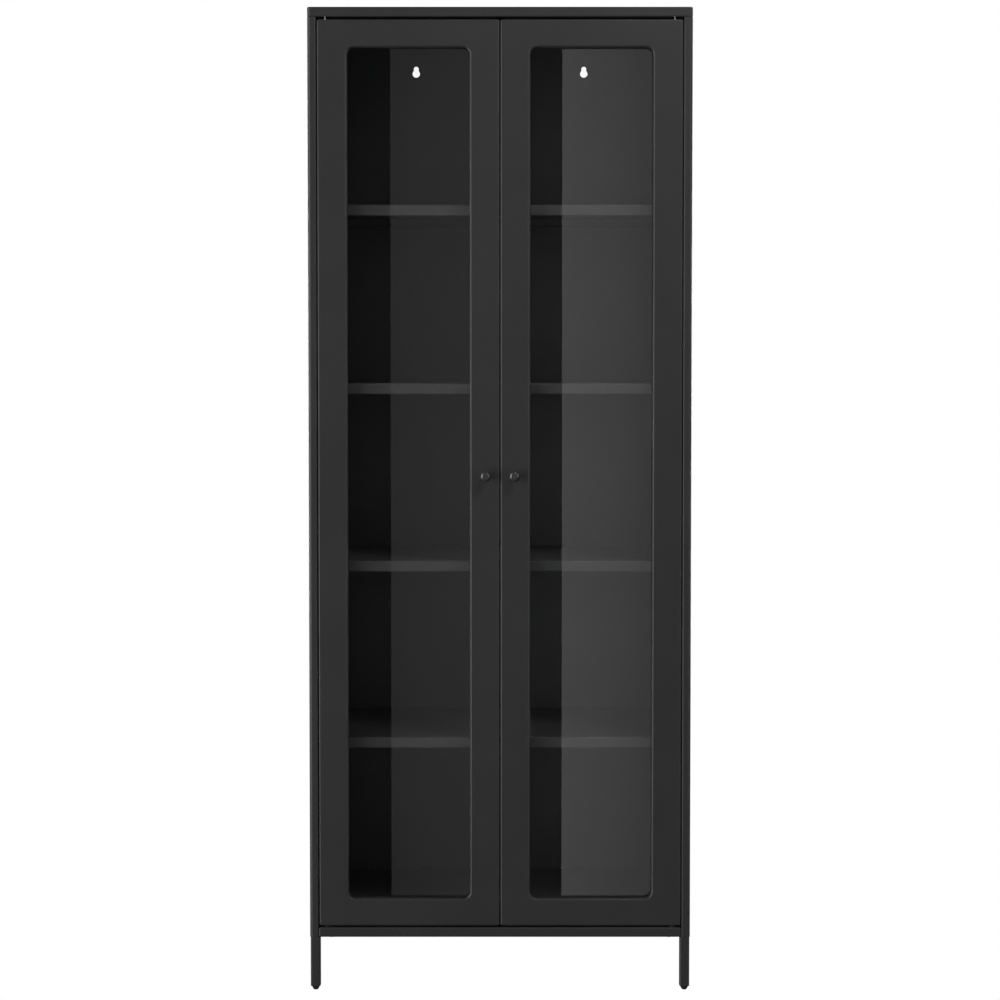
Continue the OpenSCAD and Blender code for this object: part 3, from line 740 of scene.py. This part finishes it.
def make_door_panel(hand):
    """A pan whose face turns in round the window."""
    low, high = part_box(f"{hand}_door_panel")
    outline = (low.x, low.z), (high.x, high.z)
    hem = grow(*outline, -DOOR_HEM)
    rows = pan_rows(
        *outline, high.y - low.y, *hem, HEM_R, DOOR_BEND_R, DOOR_BEND_R + CORNER_EXTRA)
    rows += collar_rows(*window_of(hand), COLLAR_D, WINDOW_R)
    obj = loft(f"{hand}_door_skin", upright_rings(rows, low.y), closed=True, turned=True)
    finish(obj, f"{hand}_door", "powder_coat", f"{hand}_door_panel")


def make_glass(hand):
    """A pane with rounded corners and ground arrises."""
    low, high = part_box(f"{hand}_glass")
    outline = (low.x, low.z), (high.x, high.z)
    face = (*grow(*outline, -GLASS_ARRIS), WINDOW_R - GLASS_ARRIS)
    edge = (*outline, WINDOW_R)
    depth = high.y - low.y
    rows = [(*face, 0), (*edge, GLASS_ARRIS), (*edge, depth - GLASS_ARRIS), (*face, depth)]
    obj = loft(f"{hand}_glass_pane", upright_rings(rows, low.y), turned=True)
    finish(obj, f"{hand}_door", "clear_glass", f"{hand}_glass")


def make_gasket(hand):
    """Edging with softened front corners, gripping the window's flange."""
    low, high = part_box(f"{hand}_glass_gasket")
    window = window_of(hand)
    outset = window[0][0] - low.x
    depth = high.y - low.y
    section = [
        (SHEET, 0), (outset - GASKET_BEAD, 0), (outset, GASKET_BEAD), (outset, depth),
        (-GASKET_BEAD, depth), (-GASKET_BEAD, GASKET_BEAD), (0, 0),
        (0, GASKET_LIP), (SHEET, GASKET_LIP),
    ]
    rows = [(*grow(*window, out), WINDOW_R + out, z) for out, z in section]
    obj = loft(f"{hand}_glass_edging", upright_rings(rows, low.y), closed=True, turned=True)
    finish(obj, f"{hand}_door", "black_rubber", f"{hand}_glass_gasket")


KNOB_HEAD_L = 0.008
KNOB_RIM_R = 0.0065
KNOB_FLAT = 0.35
KNOB_LIP = 0.0006
KNOB_FILLET = 0.002
KNOB_WAIST_R = 0.0056
KNOB_FOOT_R = 0.0064
KNOB_FOOT_L = 0.0012
KNOB_FOOT_EDGE = 0.0003
KNOB_FOOT_SLOPE = 0.001


def make_knob(hand):
    """Turned knob: a round head with a soft rim on a waisted neck."""
    low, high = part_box(f"{hand}_knob")
    middle = (low + high) / 2
    head_r = (high.x - low.x) / 2
    length = high.y - low.y
    under = length - KNOB_HEAD_L
    profile = [
        (KNOB_FOOT_R - KNOB_FOOT_EDGE, 0), (KNOB_FOOT_R, KNOB_FOOT_EDGE),
        (KNOB_FOOT_R, KNOB_FOOT_L), (KNOB_WAIST_R, KNOB_FOOT_L + KNOB_FOOT_SLOPE),
    ]
    profile.append((KNOB_WAIST_R, under - KNOB_FILLET))
    for sine, cosine in quarter_turn():
        fillet_r = KNOB_WAIST_R + KNOB_FILLET * (1 - cosine)
        profile.append((fillet_r, under - KNOB_FILLET + KNOB_FILLET * sine))
    profile += [(head_r - KNOB_LIP, under), (head_r, under + KNOB_LIP)]
    for sine, cosine in quarter_turn():
        profile.append((head_r - KNOB_RIM_R * (1 - cosine), length - KNOB_RIM_R + KNOB_RIM_R * sine))
    profile.append((head_r * KNOB_FLAT, length))
    rings = lathe(profile, lambda across, up, out: (middle.x + across, high.y - out, middle.z + up))
    obj = loft(f"{hand}_knob_turned", rings)
    finish(obj, f"{hand}_door", "knob_coat", f"{hand}_knob")


SPRING_WIRE_R = 0.00035
SPRING_TURNS = 7
SPRING_STEPS = 28
WIRE_SIDES = 10


def make_spring(hand):
    """Coil spring, which on the real catch closes up as the pin is drawn down; here it is built at
    one length on a mesh of its own.
    """
    low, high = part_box(f"{hand}_pin_spring")
    middle = (low + high) / 2
    reach = (high.x - low.x) / 2 - SPRING_WIRE_R
    height = high.z - low.z - 2 * SPRING_WIRE_R
    steps = SPRING_TURNS * SPRING_STEPS
    rings = []
    for k in range(steps + 1):
        turn = 2 * math.pi * k / SPRING_STEPS
        rise = low.z + SPRING_WIRE_R + height * k / steps
        row = []
        for side in range(WIRE_SIDES):
            tilt = 2 * math.pi * side / WIRE_SIDES
            out = reach + SPRING_WIRE_R * math.cos(tilt)
            x = middle.x + out * math.cos(turn)
            y = middle.y + out * math.sin(turn)
            row.append((x, y, rise + SPRING_WIRE_R * math.sin(tilt)))
        rings.append(row)
    obj = loft(f"{hand}_spring_coil", rings)
    finish(obj, f"{hand}_door", "spring_steel", f"{hand}_pin_spring")
    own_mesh(obj)


make_pans()
make_side_panels()
make_rail()
make_back_panel()
make_legs()
for hand in HANDS:
    make_door_panel(hand)
    make_glass(hand)
    make_gasket(hand)
    make_knob(hand)
    make_spring(hand)

WELD_GAP = 0.00001


def dress_cad_nodes():
    """Every CAD node that still shows gets its slot's material and softly broken edges."""
    for entry in frame["record"]["subparts"]:
        node = frame["nodes"][entry["node"]]
        if node.hide_render:
            continue
        node.data.materials.clear()
        node.data.materials.append(MATERIALS[entry["material_slot"]])
        weld = node.modifiers.new("weld", "WELD")
        weld.merge_threshold = WELD_GAP
        bevel = node.modifiers.new("bevel", "BEVEL")
        bevel.width = BROKEN_EDGE
        bevel.segments = 2
        bevel.limit_method = "ANGLE"
        bevel.angle_limit = SHARP_ANGLE
        bevel.harden_normals = True


dress_cad_nodes()


# ---- Studio ----

def card(name, low, high, glow):
    """A glowing card in the camera's plane, which only reflections and light see.

    Its glow runs evenly from its left end to its right end."""
    (left, bottom), (right, top) = low, high
    corners = [(left, bottom), (left, top), (right, top), (right, bottom)]
    vertices = [(x, CAMERA_AT.y, z) for x, z in corners]
    obj = add_object(name, make_mesh(name, vertices, [(0, 1, 2, 3)]))
    n = Nodes(name)
    axes = n.add("ShaderNodeSeparateXYZ")
    n.link(n.position, axes.inputs["Vector"])
    emission = n.add("ShaderNodeEmission")
    level = n.spread(axes.outputs["X"], *glow, start=left, end=right)
    n.link(level, emission.inputs["Strength"])
    n.link(emission.outputs["Emission"], n.output.inputs["Surface"])
    obj.data.materials.append(n.material)
    obj.visible_camera = False


def softbox(name, at, target, size, power):
    """A soft light that doesn't mirror itself in the glass."""
    data = bpy.data.lights.new(name, "AREA")
    data.cycles.use_multiple_importance_sampling = False
    data.shape = "RECTANGLE"
    data.size, data.size_y = size
    data.energy = power
    lamp = bpy.data.objects.new(name, data)
    lamp.location = at
    lamp.rotation_mode = "QUATERNION"
    lamp.rotation_quaternion = (Vector(target) - Vector(at)).to_track_quat("-Z", "Y")
    bpy.context.scene.collection.objects.link(lamp)
    return lamp


def glint(name, piece, *settings):
    """A light that only a pair of small bright pieces sees and mirrors."""
    lamp = softbox(name, *settings)
    lamp.data.cycles.use_multiple_importance_sampling = True
    lit = bpy.data.collections.new(name)
    for hand in HANDS:
        lit.objects.link(bpy.data.objects[f"{hand}_{piece}"])
    lamp.light_linking.receiver_collection = lit


def straight_view(tree):
    """1 for rays that reach the eye straight or through glass, without a bounce on the way."""
    path = tree.nodes.new("ShaderNodeLightPath")
    bounces = tree.nodes.new("ShaderNodeMath")
    tree.links.new(path.outputs["Glossy Depth"], bounces.inputs[0])
    tree.links.new(path.outputs["Diffuse Depth"], bounces.inputs[1])
    through = tree.nodes.new("ShaderNodeMath")
    through.operation = "GREATER_THAN"
    tree.links.new(path.outputs["Is Transmission Ray"], through.inputs[0])
    tree.links.new(bounces.outputs["Value"], through.inputs[1])
    seen = tree.nodes.new("ShaderNodeMath")
    seen.operation = "MAXIMUM"
    tree.links.new(path.outputs["Is Camera Ray"], seen.inputs[0])
    tree.links.new(through.outputs["Value"], seen.inputs[1])
    return seen.outputs["Value"]


FLOOR_HALF = 14
FLOOR_PAINT = (0.5, 0.5, 0.5)


def make_floor():
    """A plain pale floor, which reflections and shadow rays pass through."""
    corners = ((-1, -1), (1, -1), (1, 1), (-1, 1))
    vertices = [(FLOOR_HALF * x, FLOOR_HALF * y, 0) for x, y in corners]
    obj = add_object("floor", make_mesh("floor", vertices, [(0, 1, 2, 3)]))
    n = Nodes("floor")
    path = n.add("ShaderNodeLightPath")
    paint = n.add("ShaderNodeBsdfDiffuse")
    paint.inputs["Color"].default_value = (*FLOOR_PAINT, 1)
    glow = n.add("ShaderNodeEmission")
    glow.inputs["Strength"].default_value = 1.0
    seen = n.add("ShaderNodeMixShader")
    n.link(straight_view(n.tree), seen.inputs["Fac"])
    n.link(paint.outputs["BSDF"], seen.inputs[1])
    n.link(glow.outputs["Emission"], seen.inputs[2])
    clear = n.add("ShaderNodeBsdfTransparent")
    mix = n.add("ShaderNodeMixShader")
    unseen = n.add("ShaderNodeMath", operation="MAXIMUM")
    n.link(path.outputs["Glossy Depth"], unseen.inputs[0])
    n.link(path.outputs["Is Shadow Ray"], unseen.inputs[1])
    n.link(unseen.outputs["Value"], mix.inputs["Fac"])
    n.link(seen.outputs["Shader"], mix.inputs[1])
    n.link(clear.outputs["BSDF"], mix.inputs[2])
    n.link(mix.outputs["Shader"], n.output.inputs["Surface"])
    obj.data.materials.append(n.material)


WORLD_DIM = 0.018


def make_world():
    """White to the eye and through the glass, dim to reflections and scattered light."""
    world = bpy.data.worlds.new("studio")
    bpy.context.scene.world = world
    world.use_nodes = True
    tree = world.node_tree
    tree.nodes.clear()
    level = tree.nodes.new("ShaderNodeMapRange")
    level.inputs["To Min"].default_value = WORLD_DIM
    level.inputs["To Max"].default_value = 1.0
    tree.links.new(straight_view(tree), level.inputs["Value"])
    background = tree.nodes.new("ShaderNodeBackground")
    background.inputs["Color"].default_value = (1, 1, 1, 1)
    tree.links.new(level.outputs["Result"], background.inputs["Strength"])
    output = tree.nodes.new("ShaderNodeOutputWorld")
    tree.links.new(background.outputs["Background"], output.inputs["Surface"])


# Softboxes: where each stands, what it points at, its width and height, and its power in watts
SOFTBOXES = {
    "right_high": ((1.2, -1.6, 3.0), (0.3, -0.2, 1.6), (0.8, 0.6), 25),
    "left_side": ((-5.5, -1.8, 0.9), (0, 0, 0.9), (2.0, 4.0), 40),
    "left": ((-4.2, -3.4, 0.9), (0, 0, 0.9), (3.0, 4.4), 155),
    "right": ((4.2, -3.4, 0.9), (0, 0, 0.9), (3.0, 4.4), 48),
    "rear_left": ((-3.4, 3.6, 1.2), (0, 0, 0.9), (2.0, 2.0), 110),
    "rear_right": ((3.4, 3.6, 1.2), (0, 0, 0.9), (2.0, 2.0), 80),
}
# Glints: the pieces they light, then as for softboxes
GLINTS = {
    "glint_left": ("knob_turned", (-4.2, -3.4, 1.6), (0, -0.2, 0.95), (2.8, 5.6), 340),
    "glint_right": ("knob_turned", (3.6, -3.4, 1.7), (0, -0.2, 0.95), (1.8, 2.6), 50),
    "glint_pins": ("top_pin", (0, -3.5, 2.3), (0, -0.18, 1.78), (4.0, 1.5), 300),
}

# Cards: lower left corner and upper right corner as x and z, and the glow at the left and right ends
CARDS = {
    "card_left": ((-0.40, -1.4), (-0.06, 3.4), (0.2, 0.27)),
    "card_middle": ((0.06, -1.4), (0.227, 3.4), (0.045, 0.045)),
    "card_right": ((0.227, -1.4), (0.62, 3.4), (0.62, 0.41)),
}

make_world()
make_floor()
for name, settings in GLINTS.items():
    glint(name, *settings)
for name, (low, high, glow) in CARDS.items():
    card(name, low, high, glow)
for name, settings in SOFTBOXES.items():
    softbox(name, *settings)

bpy.context.scene.view_settings.view_transform = "Standard"
